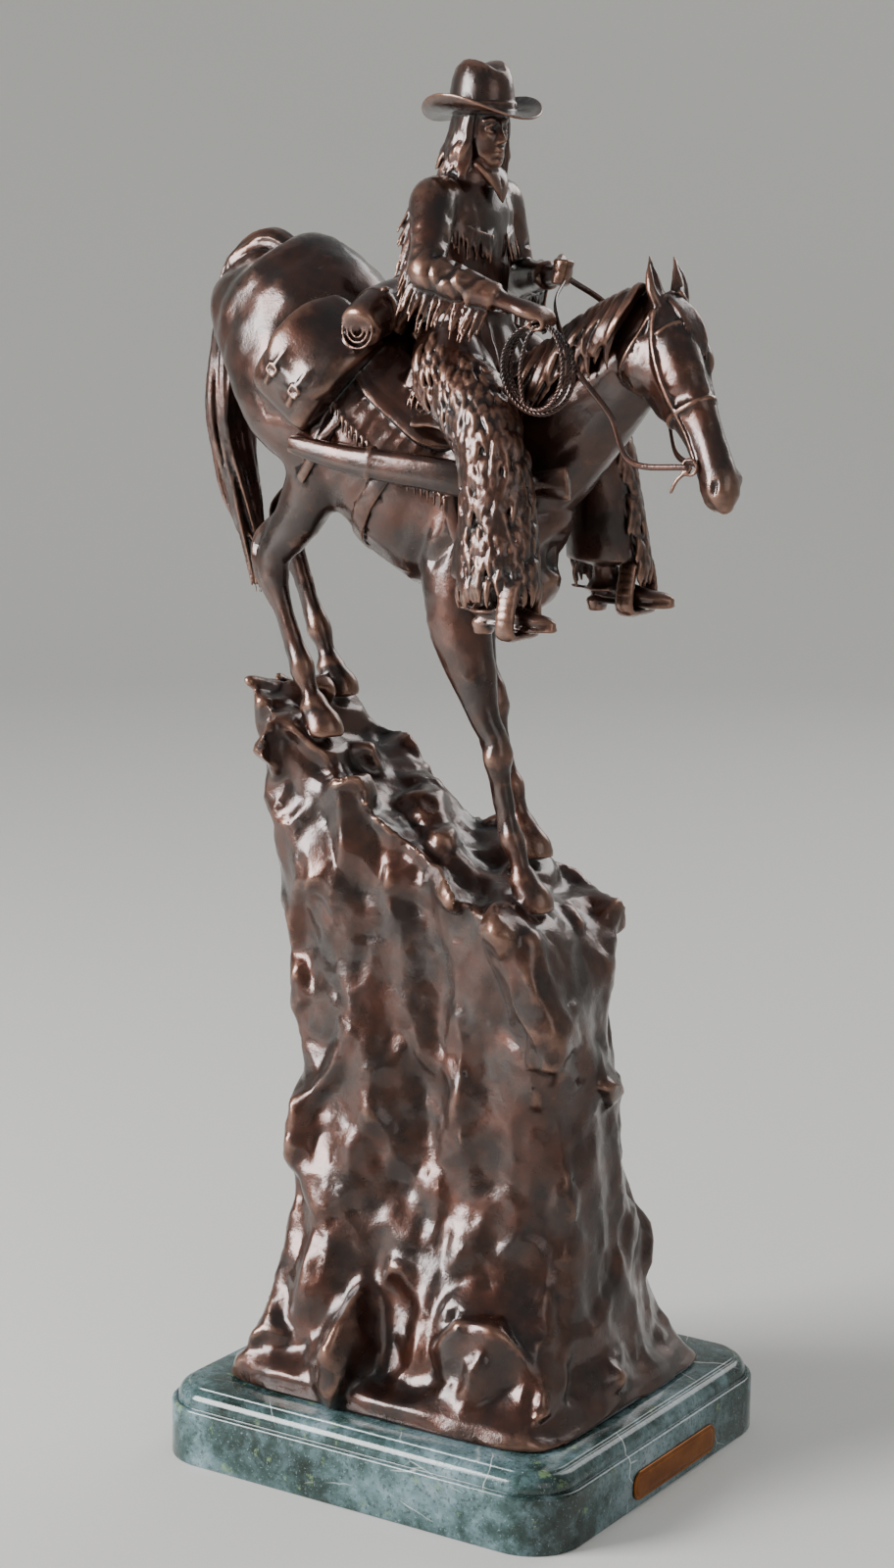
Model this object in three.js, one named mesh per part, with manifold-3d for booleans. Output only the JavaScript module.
// A bronze rider on a horse, picking a way down a steep rock, on a moulded green marble plinth.
// Millimetres, +Z up. +X is the way the horse faces, +Y its left; the origin is under the plinth's centre.
import * as THREE from "three";
import Module from "manifold-3d";

const wasm = await Module();
wasm.setup();

// Driving dimensions
const GAP = 0.3; // between separate pieces that touch
const PLINTH = { length: 258, width: 242, height: 42, corner: 30 };
const PLATE = { length: 90, height: 16, thickness: 1.2, corner: 6.5, y: 8, z: 12.5 };
const HORSE_PITCH = THREE.MathUtils.degToRad(38); // nose down
const BUTTOCK = new THREE.Vector3(-149, 0, 643); // rear end of the trunk's axis
const ROCK = {
  foot: PLINTH.height + GAP,
  rampTop: 402, // height of the ground at rampX
  rampX: -92,
  rampSlope: -0.59,
  brink: 68, // where the ramp breaks off
  fall: 4.2, // how steeply it drops from there
  backProfile: [[0, -108], [0.12, -100], [0.3, -92], [0.5, -98], [0.8, -122], [1, -136]],
  frontProfile: [[0, 110], [0.1, 106], [0.3, 104], [0.6, 101], [1, 98]],
  sideProfile: [[0, 98], [0.12, 86], [0.45, 63], [0.75, 54], [1, 50]],
};
const COIL = { radius: 22, turns: 3 };
const WIRE = 1.1; // radius of the rein and rope wires
const SHORTEST_EDGE = 2.5; // anything shorter is a sliver left by a join

const v = (x, y, z) => new THREE.Vector3(x, y, z);

// A point of the horse's trunk: along its axis from the buttock, up towards the back, and to the left.
function onHorse(along, up = 0, left = 0) {
  return v(
    BUTTOCK.x + along * Math.cos(HORSE_PITCH) + up * Math.sin(HORSE_PITCH),
    left,
    BUTTOCK.z - along * Math.sin(HORSE_PITCH) + up * Math.cos(HORSE_PITCH),
  );
}

function solid(positions, triangles) {
  return new wasm.Manifold(
    new wasm.Mesh({
      numProp: 3,
      vertProperties: new Float32Array(positions),
      triVerts: new Uint32Array(triangles),
    }),
  );
}

// Closes a stack of rings, each with its points in the same order, into one solid with a fan at each end.
function stack(rings) {
  const count = rings[0].length;
  const positions = [];
  const triangles = [];
  for (const ring of rings) for (const p of ring) positions.push(p.x, p.y, p.z);
  const centre = (ring) =>
    ring.reduce((sum, p) => sum.add(p), v(0, 0, 0)).divideScalar(ring.length);
  for (const ring of [rings[0], rings.at(-1)]) {
    const c = centre(ring);
    positions.push(c.x, c.y, c.z);
  }
  const first = rings.length * count;
  const last = (rings.length - 1) * count;
  for (let i = 0; i < rings.length - 1; i++)
    for (let j = 0; j < count; j++) {
      const k = (j + 1) % count;
      const [a, b, c, d] = [i * count + j, i * count + k, (i + 1) * count + j, (i + 1) * count + k];
      triangles.push(a, b, c, b, d, c);
    }
  for (let j = 0; j < count; j++) {
    const k = (j + 1) % count;
    triangles.push(first, k, j, first + 1, last + j, last + k);
  }
  return solid(positions, triangles);
}

// A limb: a smooth tube through stations [point, half width, half depth]. Width runs along `across`.
function limb(stations, { sides = 10, steps = 2, across = v(0, 1, 0) } = {}) {
  const curve = new THREE.CatmullRomCurve3(
    stations.map((s) => s[0]),
    false,
    "centripetal",
  );
  const spans = stations.length - 1;
  const rings = [];
  for (let i = 0; i <= spans * steps; i++) {
    const t = i / (spans * steps);
    const at = Math.min(Math.floor(t * spans), spans - 1);
    const blend = t * spans - at;
    const ease = (a, b) => THREE.MathUtils.lerp(a, b, blend);
    const wide = ease(stations[at][1], stations[at + 1][1]);
    const deep = ease(stations[at][2] ?? stations[at][1], stations[at + 1][2] ?? stations[at + 1][1]);
    const centre = curve.getPoint(t);
    const tangent = curve.getTangent(t);
    const side = across.clone().addScaledVector(tangent, -across.dot(tangent)).normalize();
    const up = tangent.clone().cross(side);
    rings.push(
      Array.from({ length: sides }, (_, j) => {
        const turn = (2 * Math.PI * j) / sides;
        return centre
          .clone()
          .addScaledVector(side, wide * Math.cos(turn))
          .addScaledVector(up, deep * Math.sin(turn));
      }),
    );
  }
  return stack(rings);
}

// A ball stretched to three half sizes and turned in the side view.
function ball(centre, half, pitch = 0) {
  const geometry = new THREE.IcosahedronGeometry(1, 1);
  geometry.scale(...half).rotateY(pitch).translate(centre.x, centre.y, centre.z);
  return fromGeometry(geometry);
}

// A closed three.js geometry as a solid, with its shared corners merged.
function fromGeometry(geometry) {
  const source = geometry.index ? geometry.toNonIndexed() : geometry;
  const corners = source.getAttribute("position");
  const seen = new Map();
  const positions = [];
  const triangles = [];
  for (let i = 0; i < corners.count; i++) {
    const p = [corners.getX(i), corners.getY(i), corners.getZ(i)];
    const key = p.map((c) => Math.round(c * 1000)).join();
    if (!seen.has(key)) {
      seen.set(key, positions.length / 3);
      positions.push(...p);
    }
    triangles.push(seen.get(key));
  }
  const kept = [];
  for (let i = 0; i < triangles.length; i += 3) {
    const [a, b, c] = triangles.slice(i, i + 3);
    if (a !== b && b !== c && c !== a) kept.push(a, b, c);
  }
  return solid(positions, kept);
}

const mirrored = (make) => [make(-1), make(1)];
const join = (parts) => parts.reduce((sum, part) => sum.add(part));

// The outer body of a joined shape, with the pockets that its parts close off between them filled.
const filled = (shape) => shape.decompose().reduce((a, b) => (a.volume() > b.volume() ? a : b));

// Draws together the ends of every edge under `shortest`, where that folds nothing over, against slivers.
function withoutSlivers(shape, shortest) {
  const mesh = shape.getMesh();
  const corner = (i) => v(...mesh.vertProperties.subarray(3 * i, 3 * i + 3));
  const points = Array.from({ length: mesh.numVert }, (_, i) => corner(i));
  const corners = mesh.triVerts;
  const faces = Array.from({ length: mesh.numTri }, (_, i) => [...corners.subarray(3 * i, 3 * i + 3)]);
  const around = points.map(() => new Set());
  faces.forEach((face, i) => face.forEach((p) => around[p].add(i)));
  const neighbours = (p) => new Set([...around[p]].flatMap((i) => faces[i]).filter((q) => q !== p));
  const normal = ([a, b, c]) => b.clone().sub(a).cross(c.clone().sub(a));
  const foldsOver = (from, other, to) =>
    [...around[from]].some((i) => {
      if (faces[i].includes(other)) return false;
      const before = normal(faces[i].map((p) => points[p]));
      const after = normal(faces[i].map((p) => (p === from ? to : points[p])));
      return before.length() > 1e-3 && before.normalize().dot(after.normalize()) < 0.3;
    });
  let changed = true;
  while (changed) {
    changed = false;
    for (let i = 0; i < faces.length; i++)
      for (let k = 0; faces[i] && k < 3; k++) {
        const [a, b] = [faces[i][k], faces[i][(k + 1) % 3]];
        if (points[a].distanceTo(points[b]) >= shortest) continue;
        const others = neighbours(b);
        if ([...neighbours(a)].filter((p) => others.has(p)).length !== 2) continue;
        const middle = points[a].clone().lerp(points[b], 0.5);
        if (foldsOver(a, b, middle) || foldsOver(b, a, middle)) continue;
        points[a].copy(middle);
        for (const j of around[b]) {
          if (faces[j].includes(a)) {
            faces[j].forEach((p) => p !== b && around[p].delete(j));
            faces[j] = null;
          } else {
            faces[j] = faces[j].map((p) => (p === b ? a : p));
            around[a].add(j);
          }
        }
        around[b].clear();
        changed = true;
      }
  }
  return solid(
    points.flatMap((p) => p.toArray()),
    faces.filter(Boolean).flat(),
  );
}

// The outline of a rectangle with round corners, in the plane at height z.
function roundedOutline(length, width, corner, z, arc = 6) {
  const points = [];
  for (let q = 0; q < 4; q++) {
    const cx = (q === 0 || q === 3 ? 1 : -1) * (length / 2 - corner);
    const cy = (q < 2 ? 1 : -1) * (width / 2 - corner);
    for (let i = 0; i <= arc; i++) {
      const turn = (q + i / arc) * (Math.PI / 2);
      points.push(v(cx + corner * Math.cos(turn), cy + corner * Math.sin(turn), z));
    }
  }
  return points;
}

// The marble plinth: upright sides, a quirk, a round moulding and a flat top.
function plinth() {
  const profile = [
    [0, 0],
    [0, 29],
    [2.9, 29.8],
    [2.9, 31.2],
    [4, 36.4],
    [8.4, 39.8],
    [9, 41.4],
    [10, PLINTH.height],
  ];
  return stack(
    profile.map(([inset, z]) =>
      roundedOutline(PLINTH.length - 2 * inset, PLINTH.width - 2 * inset, PLINTH.corner - inset, z),
    ),
  );
}

// The blank brass plate on the plinth's front face.
function plate() {
  const outline = roundedOutline(PLATE.length, PLATE.height, PLATE.corner, 0, 3);
  const x = PLINTH.length / 2 + GAP;
  const ring = (depth) => outline.map((p) => v(x + depth, PLATE.y + p.x, PLATE.z + p.y));
  return stack([ring(0), ring(PLATE.thickness)]);
}

// A repeatable number from -1 to 1 for two whole numbers.
const rough = (i, j) => {
  const s = Math.sin(i * 12.9898 + j * 78.233) * 43758.5453;
  return 2 * (s - Math.floor(s)) - 1;
};

// How high the ground lies: a ramp under the horse, then a steep fall to the front face.
function groundHeight(x) {
  const ramp = (at) => ROCK.rampTop + ROCK.rampSlope * (at - ROCK.rampX);
  const past = Math.max(x - ROCK.brink, 0);
  return ramp(Math.min(x, ROCK.brink)) - past * ROCK.fall;
}

// A value read off a profile of [share of height, value] pairs.
function along(profile, t) {
  const i = Math.max(profile.findIndex(([at]) => at >= t), 1);
  const [[a, from], [b, to]] = [profile[i - 1], profile[i]];
  return THREE.MathUtils.lerp(from, to, THREE.MathUtils.clamp((t - a) / (b - a), 0, 1));
}

// The rock's body: level rings from its foot up to the sloping ground, with clefts, ledges and a waist.
function rockBody() {
  const sides = 36;
  const levels = 14;
  const rings = [];
  const ring = (t, shrink) =>
    Array.from({ length: sides }, (_, j) => {
      const turn = (2 * Math.PI * j) / sides;
      const cos = Math.cos(turn);
      const sin = Math.sin(turn);
      const squareness = 4 + 3 * Math.max(1 - 4 * t, 0); // the foot follows the plinth
      const square = (Math.abs(cos) ** squareness + Math.abs(sin) ** squareness) ** (-1 / squareness);
      const back = along(ROCK.backProfile, t);
      const front = along(ROCK.frontProfile, t);
      const half = along(ROCK.sideProfile, t);
      const flat = Math.max(cos, 0) ** 2; // the front is a plain broken face
      const cleft = 5 * Math.sin(3 * turn + 5 * t) + 4 * Math.sin(8 * turn - 3 * t);
      const row = Math.round(t * levels);
      const ledge = 4 * rough(row, Math.round(j / 2)) + 2 * rough(row, j);
      const relief = (1 - 0.75 * flat) * (cleft + ledge) * Math.min(6 * t, 1);
      const x = (back + front) / 2 + (((front - back) / 2) * square + relief) * cos * shrink;
      const y = (half * square + relief) * sin * shrink;
      const top = groundHeight(x) + 2.5 * rough(j, Math.round(20 * shrink));
      return v(x, y, ROCK.foot + (top - ROCK.foot) * t);
    });
  for (let i = 0; i <= levels; i++) rings.push(ring(i / levels, 1));
  for (const shrink of [0.86, 0.62, 0.34]) rings.push(ring(1, shrink));
  return stack(rings);
}

// A boulder: a twelve-sided stone, stretched, with its corners pushed in and out.
function boulder([x, y, z], [a, b, c], pitch, seed) {
  const geometry = new THREE.DodecahedronGeometry(1, 0);
  const corners = geometry.getAttribute("position");
  for (let i = 0; i < corners.count; i++) {
    const p = new THREE.Vector3().fromBufferAttribute(corners, i);
    const key = Math.round(40 * p.x) + 7 * Math.round(40 * p.y);
    p.multiplyScalar(0.96 + 0.08 * rough(key, Math.round(40 * p.z) + seed));
    corners.setXYZ(i, p.x, p.y, p.z);
  }
  geometry.scale(a, b, c).rotateY(pitch).rotateZ(0.7 * seed).translate(x, y, z);
  return fromGeometry(geometry).trimByPlane([0, 0, 1], ROCK.foot);
}

// Boulders on the ramp and down the front, then round the foot:
// [x, y, lift above the ground or height, half sizes, pitch].
function boulders() {
  const onRamp = [
    [-30, 4, -4, 26, 22, 14, 0.5],
    [-54, -34, -8, 20, 14, 15, 0.3],
    [-4, 40, -6, 20, 14, 16, 0.6],
    [66, 40, -10, 17, 14, 18, 0.5],
    [78, -32, -6, 15, 17, 17, 0.3],
    [88, 6, -6, 15, 26, 19, 0.4],
    [-126, 10, -3, 16, 26, 15, 0.2],
    [-104, -46, -20, 20, 12, 22, 0.2],
    [14, -50, -16, 24, 11, 22, 0.4],
    [46, -46, -14, 17, 12, 18, 0.5],
    [-74, 44, -14, 20, 12, 20, 0.3],
  ].map(([x, y, lift, ...rest]) => [x, y, groundHeight(x) + lift, ...rest]);
  const onFoot = [
    [-90, -46, 62, 30, 36, 34, 0.1],
    [-92, 48, 60, 28, 36, 32, 0],
    [-42, 72, 84, 44, 26, 46, 0.2],
    [-28, -72, 72, 46, 22, 38, 0.2],
    [52, 74, 96, 44, 24, 60, 0.1],
    [56, -78, 72, 42, 22, 34, 0.1],
    [92, -60, 66, 22, 26, 30, 0.1],
  ];
  const all = [...onRamp, ...onFoot];
  return all.map(([x, y, z, a, b, c, pitch], i) => boulder([x, y, z], [a, b, c], pitch, i));
}

// The horse's trunk from buttock to chest: [along, back line, belly line, half width].
const TRUNK = [
  [-2, 22, -10, 12],
  [6, 36, -32, 28],
  [22, 46, -44, 38],
  [48, 51, -47, 43],
  [82, 46, -43, 42],
  [120, 42, -54, 46],
  [158, 45, -60, 44],
  [188, 56, -58, 37],
  [214, 44, -52, 32],
  [234, 20, -40, 25],
  [246, 6, -26, 13],
];

function trunk() {
  return limb(
    TRUNK.map(([s, top, bottom, half]) => [onHorse(s, (top + bottom) / 2), half, (top - bottom) / 2]),
    { sides: 16 },
  );
}

const NECK = [
  [v(1, 0, 533), 27, 38],
  [v(32, -1, 555), 25, 39],
  [v(64, -3, 581), 20, 33],
  [v(92, -7, 605), 16.5, 27],
  [v(114, -11, 620), 13.5, 21],
  [v(122, -13, 626), 8, 12],
];
const POLL = v(116, -12, 624);
const MUZZLE = v(164, -32, 543);
const HEAD_UP = v(0.84, 0, 0.5); // from the jaw towards the forehead
// Along the head: [share of its length, lift, half width, half depth].
const HEAD = [
  [-0.14, 0, 7, 8],
  [0, -1, 11.5, 15],
  [0.18, -4.5, 14, 21],
  [0.36, -4, 12.6, 20],
  [0.55, -0.5, 9.4, 14],
  [0.76, 0, 8.2, 11.2],
  [0.92, -0.5, 9, 11],
  [1.02, -1.5, 8.2, 9],
  [1.08, -2, 4.5, 5],
];
const onHead = (share, lift = 0, left = 0) =>
  POLL.clone().lerp(MUZZLE, share).addScaledVector(HEAD_UP, lift).add(v(0.33 * left, 0.94 * left, 0));

function neckAndHead() {
  const ears = mirrored((side) =>
    limb(
      [
        [onHead(-0.03, 7, side * 6), 5, 4],
        [onHead(-0.13, 9, side * 8.2), 6.4, 3.8],
        [onHead(-0.22, 11, side * 9), 5.6, 3],
        [onHead(-0.345, 13, side * 7.8), 1.3, 1.2],
      ],
      { sides: 6, steps: 1 },
    ),
  );
  const nostrils = mirrored((side) => ball(onHead(0.95, 2.5, side * 6.5), [4.5, 3.5, 4.5], 0));
  const eyes = mirrored((side) => ball(onHead(0.27, 6, side * 10.5), [5.5, 4, 4.5], 0.9));
  return join([
    limb(NECK, { sides: 14 }),
    limb(HEAD.map(([share, lift, ...half]) => [onHead(share, lift), ...half]), {
      sides: 12,
      across: v(0.33, 0.94, 0),
    }),
    ...ears,
    ...nostrils,
    ...eyes,
  ]);
}

// The crest of the neck, from the withers to the poll.
const CREST = new THREE.CatmullRomCurve3([v(12, 0, 588), v(46, -2, 609), v(78, -6, 628), v(106, -10, 640)]);

function mane() {
  const locks = 10;
  return join(
    Array.from({ length: locks }, (_, i) => {
      const root = CREST.getPoint(i / (locks - 1));
      const long = 34 + 7 * rough(i, 3);
      return limb(
        [
          [root.clone().add(v(3, 5, -4)), 3, 5],
          [root.clone().add(v(1, -4, 1)), 5, 6.5],
          [root.clone().add(v(-2, -17, -0.35 * long)), 4.4, 7],
          [root.clone().add(v(-6, -21, -0.75 * long)), 3, 5.5],
          [root.clone().add(v(-8, -22, -long)), 0.8, 1.4],
        ],
        { sides: 6, steps: 1, across: v(0.2, 1, 0.4) },
      );
    }),
  );
}

function tail() {
  return limb(
    [
      [onHorse(18, 26), 7, 7],
      [onHorse(0, 18), 9, 10],
      [onHorse(-7, -2), 10, 11],
      [v(-163, 3, 600), 12, 12],
      [v(-166, 6, 556), 13, 13],
      [v(-157, 8, 512), 9, 9],
      [v(-146, 8, 476), 1.5, 1.5],
    ],
    { sides: 8 },
  );
}

// A hoof: a sloping cone, set a little into the ground, with its coronet.
const hoof = (sole) =>
  limb(
    [
      [sole.clone().add(v(2.4, 0, -4)), 10, 11.4],
      [sole.clone().add(v(1.8, 0, 0.5)), 9.8, 11.2],
      [sole.clone().add(v(-4.6, 0, 12)), 7.4, 8.4],
      [sole.clone().add(v(-5.6, 0, 14.4)), 6.4, 7],
    ],
    { sides: 10, steps: 1 },
  );

// A hind leg through its hip, stifle, hock, fetlock and hoof.
function hindLeg(side, sole) {
  const fetlock = sole.clone().add(v(-13, 0, 33));
  const hock = fetlock.clone().add(v(-21, 0, 54));
  const stifle = hock.clone().add(v(42, side * 6, 58));
  const hip = onHorse(40, -4, side * 24);
  return join([
    limb(
      [
        [hip, 20, 34],
        [hip.clone().lerp(stifle, 0.5).add(v(-2, side * 4, 0)), 20, 32],
        [stifle.clone().add(v(-6, 0, 2)), 15, 21],
        [stifle.clone().lerp(hock, 0.5), 11, 15],
        [hock.clone().add(v(1, 0, 6)), 7.8, 10.6],
        [hock.clone().lerp(fetlock, 0.12), 6.8, 9.2],
        [hock.clone().lerp(fetlock, 0.36).add(v(-1, 0, 0)), 4.8, 6.4],
        [hock.clone().lerp(fetlock, 0.74).add(v(-1, 0, 0)), 4.4, 6],
        [fetlock.clone().add(v(-1, 0, 0)), 6.2, 8],
        [fetlock.clone().lerp(sole, 0.36), 4.8, 5.4],
        [sole.clone().add(v(-4, 0, 11)), 7, 7.6],
      ],
      { sides: 8, steps: 1 },
    ),
    hoof(sole),
  ]);
}

// A foreleg through its shoulder, elbow, knee, fetlock and hoof.
function foreLeg(side, sole, reach) {
  const fetlock = sole.clone().add(v(-12, 0, 33));
  const knee = fetlock.clone().add(v(-11 + reach, 0, 43));
  const elbow = knee.clone().add(v(-22, side * 2, 66));
  return join([
    limb(
      [
        [onHorse(192, 12, side * 24), 12, 26],
        [onHorse(208, -18, side * 22), 16, 24],
        [elbow, 13, 18],
        [elbow.clone().lerp(knee, 0.4), 10.4, 13],
        [elbow.clone().lerp(knee, 0.74), 7, 8.4],
        [knee.clone().add(v(0, 0, 1)), 8.2, 8.8],
        [knee.clone().lerp(fetlock, 0.18), 6.2, 6.6],
        [knee.clone().lerp(fetlock, 0.4).add(v(-1, 0, 0)), 4.7, 5.8],
        [knee.clone().lerp(fetlock, 0.76).add(v(-1, 0, 0)), 4.4, 5.6],
        [fetlock.clone().add(v(-1, 0, 0)), 6.2, 7.6],
        [fetlock.clone().lerp(sole, 0.36), 4.8, 5.4],
        [sole.clone().add(v(-4, 0, 11)), 6.8, 7.4],
      ],
      { sides: 8, steps: 1 },
    ),
    hoof(sole),
  ]);
}

const onGround = (x, y) => v(x, y, groundHeight(x) + 1);

function horse() {
  return join([
    trunk(),
    neckAndHead(),
    mane(),
    tail(),
    hindLeg(-1, onGround(-84, -24)),
    hindLeg(1, onGround(-108, 26)),
    foreLeg(-1, onGround(52, -24), 0),
    foreLeg(1, onGround(22, 24), -2),
  ]);
}

const BACKWARD = onHorse(0, 1).sub(onHorse(0, 0)); // square to the horse's back
const FORWARD = onHorse(1, 0).sub(onHorse(0, 0)); // along it

// The saddle: blanket, seat, cantle, horn, bedroll and bags.
function saddle() {
  const skin = (grow, from, to) =>
    limb(
      TRUNK.filter(([s]) => s >= from && s <= to).map(([s, top, bottom, half]) => [
        onHorse(s, (top + bottom) / 2),
        half + grow,
        (top - bottom) / 2 + grow,
      ]),
      { sides: 16, steps: 1 },
    ).trimByPlane(BACKWARD.toArray(), onHorse(0, -14).dot(BACKWARD));
  const cantle = limb(
    [
      [onHorse(109, 43, -27), 2.6, 5],
      [onHorse(105, 58, -18), 2.8, 6],
      [onHorse(103, 67, 0), 2.8, 6],
      [onHorse(105, 58, 18), 2.8, 6],
      [onHorse(109, 43, 27), 2.6, 5],
    ],
    { sides: 8, steps: 1, across: FORWARD },
  );
  const pommel = limb(
    [
      [onHorse(172, 44), 22, 12],
      [onHorse(177, 58), 16, 9],
      [onHorse(180, 70), 4, 4],
      [onHorse(182, 79.5), 3.6, 3.6],
      [onHorse(182.4, 80.6), 7.4, 7.4],
      [onHorse(183.2, 83.4), 7.2, 7.2],
    ],
    { sides: 8, steps: 1 },
  );
  const roll = (y) => onHorse(90, 56, y).add(v(0, 0, -0.006 * y * y));
  const bedroll = limb(
    [
      [roll(-51), 9, 9],
      [roll(-48), 11.6, 11.6],
      [roll(-24), 12.6, 12.6],
      [roll(24), 12.6, 12.6],
      [roll(48), 11.6, 11.6],
      [roll(51), 9, 9],
    ],
    { sides: 10, steps: 1, across: FORWARD },
  );
  const bags = mirrored((side) =>
    limb(
      [
        [onHorse(86, 33, side * 35), 18, 5],
        [onHorse(86, 24, side * 44), 22, 9],
        [onHorse(86, 6, side * 51), 22.5, 11],
        [onHorse(86, -10, side * 51), 22, 11],
        [onHorse(86, -20, side * 45), 18, 5],
      ],
      { sides: 10, steps: 1, across: FORWARD },
    ),
  );
  const seat = limb(
    [
      [onHorse(110, 48), 20, 12],
      [onHorse(146, 44), 15, 11],
      [onHorse(172, 52), 15, 10],
    ],
    { steps: 1 },
  );
  return join([skin(4, 82, 188), seat, cantle, pommel, bedroll, ...bags]);
}

// The rider's joints.
const CHEST = v(-9, 0, 678);
const RIGHT = { shoulder: v(-9, -31, 684), elbow: v(4, -58, 648), hand: v(52, -50, 632) };
const LEFT = { shoulder: v(-9, 31, 684), elbow: v(-8, 52, 642), hand: v(38, 14, 646) };
const HEAD_TURN = THREE.MathUtils.degToRad(-16); // to the rider's right
const FIST = { reach: 9, half: [10, 7, 6.5] };
const fistOf = ({ elbow, hand }) =>
  hand.clone().addScaledVector(hand.clone().sub(elbow).normalize(), FIST.reach);

// A leg in woolly chaps, which widen down to the ankle, with the boot's foot below.
function riderLeg(side) {
  const hip = v(2, side * 28, 600);
  const knee = v(44, side * 52, 560);
  const ankle = v(50, side * 58, 490);
  const chaps = limb(
    [
      [v(-14, side * 14, 604), 17, 18],
      [hip, 18.5, 20],
      [hip.clone().lerp(knee, 0.5), 18, 19],
      [knee.clone().add(v(-5, 0, 4)), 16.5, 17.5],
      [knee.clone().add(v(1, 0, -12)), 15.5, 18],
      [knee.clone().lerp(ankle, 0.45).add(v(-2, 0, 0)), 15, 20],
      [knee.clone().lerp(ankle, 0.75).add(v(-4, 0, 0)), 15, 22.5],
      [ankle.clone().add(v(-5, 0, 2)), 14.5, 23],
      [ankle.clone().add(v(-5, 0, -1)), 8, 14],
    ],
    { sides: 12, steps: 1 },
  );
  const boot = limb(
    [
      [ankle.clone().add(v(-13, 0, -15)), 5, 5],
      [ankle.clone().add(v(-4, 0, -9)), 6.4, 11],
      [ankle.clone().add(v(9, side, -14)), 6.8, 6.6],
      [ankle.clone().add(v(22, side * 2, -16.5)), 7.2, 4.8],
      [ankle.clone().add(v(35, side * 4, -18)), 3, 2.8],
    ],
    { sides: 8, steps: 1 },
  );
  const heel = limb(
    [
      [ankle.clone().add(v(-9, 0, -15)), 5.4, 5.6],
      [ankle.clone().add(v(-8.6, 0, -25)), 4.6, 4.6],
    ],
    { sides: 6, steps: 1 },
  );
  return join([chaps, boot, heel]);
}

// A wide wooden stirrup with a flat tread.
function stirrup(side) {
  const half = [[0, -13.5], [12.5, -12.5], [13.5, -6], [11, 6], [7, 14], [0, 17]];
  const loop = [...half, ...half.slice(1, -1).reverse().map(([y, z]) => [-y, z])];
  const ring = (x, grow) => loop.map(([y, z]) => v(64 + x, side * 61 + y * grow, 480 + z * grow));
  return stack([ring(-5.4, 1.15), ring(5.4, 1.15)]).subtract(stack([ring(-7, 0.83), ring(7, 0.83)]));
}

// A row of cut leather thongs between two points, each hanging by `drop`.
function fringe(from, to, drop, count, thick = 2.4) {
  const step = to.clone().sub(from).divideScalar(count);
  const out = step.clone().cross(drop).normalize().multiplyScalar(thick / 2);
  const into = drop.clone().multiplyScalar(-0.5);
  const teeth = [];
  for (let i = 0; i < count; i++) {
    const start = from.clone().addScaledVector(step, i).add(into);
    const end = start.clone().addScaledVector(step, 1.04);
    const inner = [start.clone().sub(out), end.clone().sub(out)];
    const root = [...inner, end.clone().add(out), start.clone().add(out)];
    const far = drop.clone().multiplyScalar(1.5 + 0.3 * rough(i, count));
    const tip = root.map((p, k) => p.clone().lerp(root[(k + 2) % 4], 0.32).add(far));
    teeth.push(stack([root, tip]));
  }
  return join(teeth);
}

function arm(joints) {
  const { shoulder, elbow, hand } = joints;
  const to = (a, b, t) => a.clone().lerp(b, t);
  const sleeve = limb(
    [
      [to(shoulder, CHEST, 0.55), 13, 12],
      [shoulder, 13, 13],
      [to(shoulder, elbow, 0.5), 11, 11.5],
      [elbow, 10, 10.6],
      [to(elbow, hand, 0.35), 9.4, 9.6],
      [to(elbow, hand, 0.78), 7.4, 7.6],
      [to(elbow, hand, 0.82), 4, 4],
    ],
    { sides: 10, steps: 1, across: v(0.3, 0.9, 0.3) },
  );
  const wrist = limb([[to(elbow, hand, 0.7), 5.6, 5], [hand, 5.6, 4.4]], { sides: 8, steps: 1 });
  const along = hand.clone().sub(elbow);
  const turn = new THREE.Matrix4().makeRotationZ(Math.atan2(along.y, along.x)).setPosition(fistOf(joints));
  const fist = fromGeometry(new THREE.IcosahedronGeometry(1, 1).scale(...FIST.half).applyMatrix4(turn));
  const underElbow = to(elbow, hand, 0.02).add(v(0, 0, -9));
  const underCuff = to(elbow, hand, 0.74).add(v(0, 0, -7));
  const thongs = fringe(underElbow, underCuff, v(-4, 0, -11), 6);
  return join([sleeve, wrist, fist, thongs]);
}

// A hat with a curled brim and a creased crown, turned with the head.
function hat(centre) {
  const sides = 20;
  const ring = (long, wide, z, curl, crease = 0) =>
    Array.from({ length: sides }, (_, j) => {
      const turn = (2 * Math.PI * j) / sides;
      const [cos, sin] = [Math.cos(turn), Math.sin(turn)];
      const rise = curl * sin ** 2 - 0.55 * curl * cos ** 2 - crease * Math.exp(-(((wide * sin) / 5) ** 2));
      return v(long * cos, wide * sin, z + rise).applyAxisAngle(v(0, 0, 1), HEAD_TURN).add(centre);
    });
  return stack([
    ring(12, 9, -1.5, 0),
    ring(20, 17, -1.6, 0.5),
    ring(31, 26, -1.3, 4.4),
    ring(35.2, 28.8, 0.2, 8),
    ring(30.5, 25.5, 0.6, 4.6),
    ring(20.4, 17.2, 0.6, 0.4),
    ring(19.2, 16, 8, 0.6),
    ring(17.6, 14.4, 16, 1.2),
    ring(14.6, 11.6, 23, 2, 1.4),
    ring(8.6, 6.4, 24.4, 1, 4.2),
  ]);
}

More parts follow.
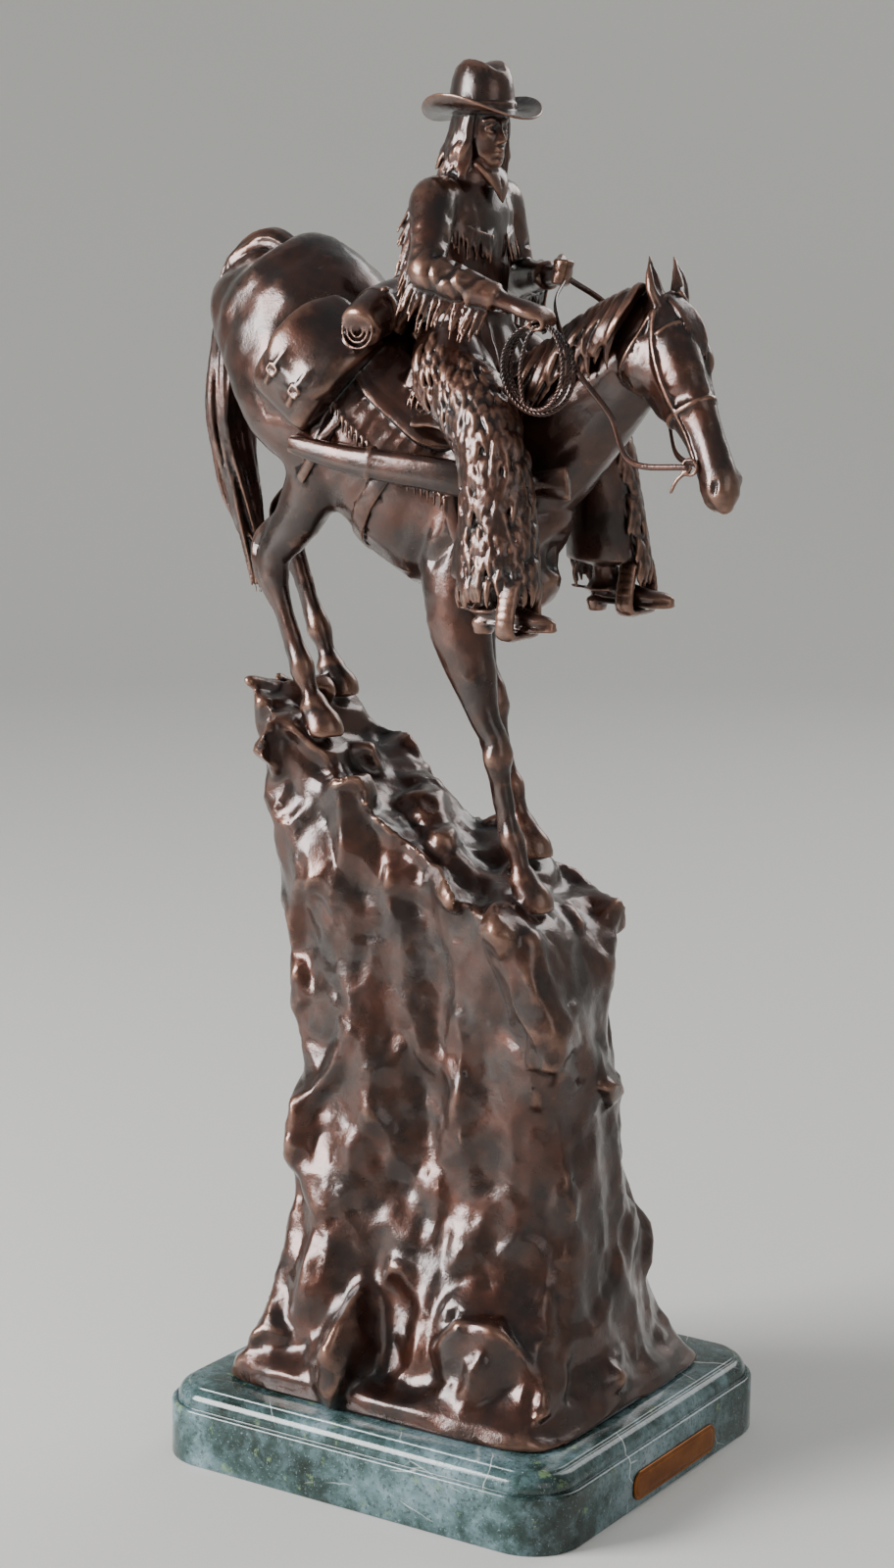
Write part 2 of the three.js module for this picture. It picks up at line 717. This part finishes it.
function rider() {
  const coat = limb(
    [
      [v(-7, 0, 584), 38, 32],
      [v(-5, 0, 598), 34, 29],
      [v(-5, 0, 612), 28, 23],
      [v(-6, 0, 628), 24, 18],
      [v(-7, 0, 646), 25.5, 18],
      [v(-8, 0, 664), 29.5, 19.5],
      [v(-9, 0, 680), 31.5, 19.5],
      [v(-8, 0, 690), 24, 15],
      [v(-6, 0, 698), 15, 13.6],
      [v(-4, 0, 706.4), 12, 11.6],
    ],
    { sides: 16, steps: 1 },
  );
  const faced = (front, left, z) =>
    v(front, left, z).applyAxisAngle(v(0, 0, 1), HEAD_TURN).add(v(1, -1, 0));
  const skull = limb(
    [
      [faced(7.6, 0, 700.4), 3.6, 4],
      [faced(4, 0, 706), 8.3, 9.2],
      [faced(2, 0, 713), 10.3, 11.4],
      [faced(0.6, 0, 721), 11.6, 12.8],
      [faced(-0.6, 0, 733), 12, 13],
    ],
    { sides: 12, steps: 1, across: v(0.28, 0.96, 0) },
  );
  const nose = limb(
    [
      [faced(12.4, 0, 721), 1.5, 1.8],
      [faced(14.8, 0, 714.4), 2.4, 3],
      [faced(13, 0, 711.8), 2, 1.2],
    ],
    { sides: 6, steps: 1 },
  );
  const hair = limb(
    [
      [faced(-2.4, 0, 734), 12.5, 11],
      [faced(-3.4, 0, 722), 14.6, 12],
      [faced(-5.4, 0, 708), 16, 11.6],
      [faced(-9, 0, 696), 17.6, 12],
      [faced(-11, 0, 688), 16.6, 10],
    ],
    { sides: 14, steps: 1, across: v(0.28, 0.96, 0) },
  );
  const kerchief = limb(
    [
      [v(3, 0, 702.5), 12.5, 3.4],
      [v(9, 0, 696), 11, 2.8],
      [v(11.8, 0, 689.5), 7, 2],
      [v(12.8, 0, 682), 1.2, 1.2],
    ],
    { sides: 8, steps: 1 },
  );
  const hem = [
    fringe(v(14, -29, 590), v(-22, -30, 588), v(-1, -4, -10), 6),
    fringe(v(-22, 30, 588), v(14, 29, 590), v(-1, 4, -10), 6),
  ];
  return join([
    coat,
    skull,
    nose,
    hair,
    kerchief,
    hat(v(0, -1, 729)),
    ...hem,
    ...mirrored(riderLeg),
    ...mirrored(stirrup),
    arm(RIGHT),
    arm(LEFT),
  ]);
}

// A rifle in its scabbard, slung under the rider's right leg.
function scabbard() {
  const sleeve = limb(
    [
      [onHorse(206, 30, -42), 3, 9],
      [onHorse(184, 18, -49), 5, 9],
      [onHorse(140, -10, -53), 5, 8],
      [onHorse(104, -30, -51), 3.5, 5.5],
    ],
    { sides: 8, steps: 1 },
  );
  const stock = limb(
    [
      [onHorse(200, 27, -43), 2.6, 4.6],
      [onHorse(214, 37, -41), 2.8, 4.4],
      [onHorse(222, 44, -39), 2.9, 5.8],
      [onHorse(240, 60, -35.6), 3, 8.6],
    ],
    { sides: 8, steps: 1 },
  );
  return join([sleeve, stock]);
}

function casting() {
  const parts = [rockBody(), ...boulders(), horse(), saddle(), rider(), scabbard()];
  return withoutSlivers(filled(join(parts)), SHORTEST_EDGE);
}

// The coiled rope in the right hand: turns of wire that cross where the hand holds them.
function ropeCoil() {
  const top = fistOf(RIGHT).add(v(0, 0, -FIST.half[2] - WIRE - GAP));
  return join(
    Array.from({ length: COIL.turns }, (_, i) => {
      const radius = COIL.radius - 1.6 * i;
      const turn = new THREE.TorusGeometry(radius, WIRE, 5, 14);
      turn.rotateX(Math.PI / 2).translate(0, 0, -radius).rotateX(0.1 * (i - 1)).rotateY(0.2 * (i - 1));
      return fromGeometry(turn.translate(top.x, top.y, top.z));
    }),
  );
}

// A rein from the bit, along the side of the neck and over the mane, to the left hand.
function rein(side, out) {
  const fist = fistOf(LEFT);
  const over = v(66, -3 + side * 0.8 * out, 630);
  const grip = over.clone().sub(fist).normalize().multiplyScalar(FIST.half[0] + WIRE + GAP);
  return wire([
    onHead(0.82, -6, side * 11),
    onHead(0.6, -22, side * 17).add(v(-6, 0, -8)),
    v(104, -9 + side * out * 0.85, 578),
    v(82, -5 + side * out, 604),
    over,
    fist.add(grip),
  ]);
}

// A wire through points, with flat ends.
function wire(points, radius = WIRE, steps = 20) {
  const curve = new THREE.CatmullRomCurve3(points, false, "centripetal");
  const outline = new THREE.Shape().absarc(0, 0, radius, 0, 2 * Math.PI);
  return fromGeometry(
    new THREE.ExtrudeGeometry(outline, {
      extrudePath: curve,
      steps,
      curveSegments: 3,
      bevelEnabled: false,
    }),
  );
}

function geometryOf(shape) {
  const mesh = shape.getMesh();
  const geometry = new THREE.BufferGeometry();
  geometry.setAttribute("position", new THREE.BufferAttribute(mesh.vertProperties, 3));
  geometry.setIndex(new THREE.BufferAttribute(mesh.triVerts, 1));
  geometry.computeVertexNormals();
  return geometry;
}

const BRONZE = new THREE.MeshStandardMaterial({ color: 0x3b2a22, metalness: 0.9, roughness: 0.38 });
const MARBLE = new THREE.MeshStandardMaterial({ color: 0x2c4a44, metalness: 0, roughness: 0.2 });
const BRASS = new THREE.MeshStandardMaterial({ color: 0xa86a2c, metalness: 0.9, roughness: 0.35 });

function piece(name, shape, material) {
  const mesh = new THREE.Mesh(geometryOf(shape), material);
  mesh.name = name;
  return mesh;
}

const statue = new THREE.Group();
statue.add(piece("bronze_casting", casting(), BRONZE));
statue.add(piece("rope_coil", ropeCoil(), BRONZE));
statue.add(piece("rein_right", rein(-1, 38), BRONZE));
statue.add(piece("rein_left", rein(1, 29), BRONZE));
statue.add(piece("marble_plinth", plinth(), MARBLE));
statue.add(piece("name_plate", plate(), BRASS));

export default statue;
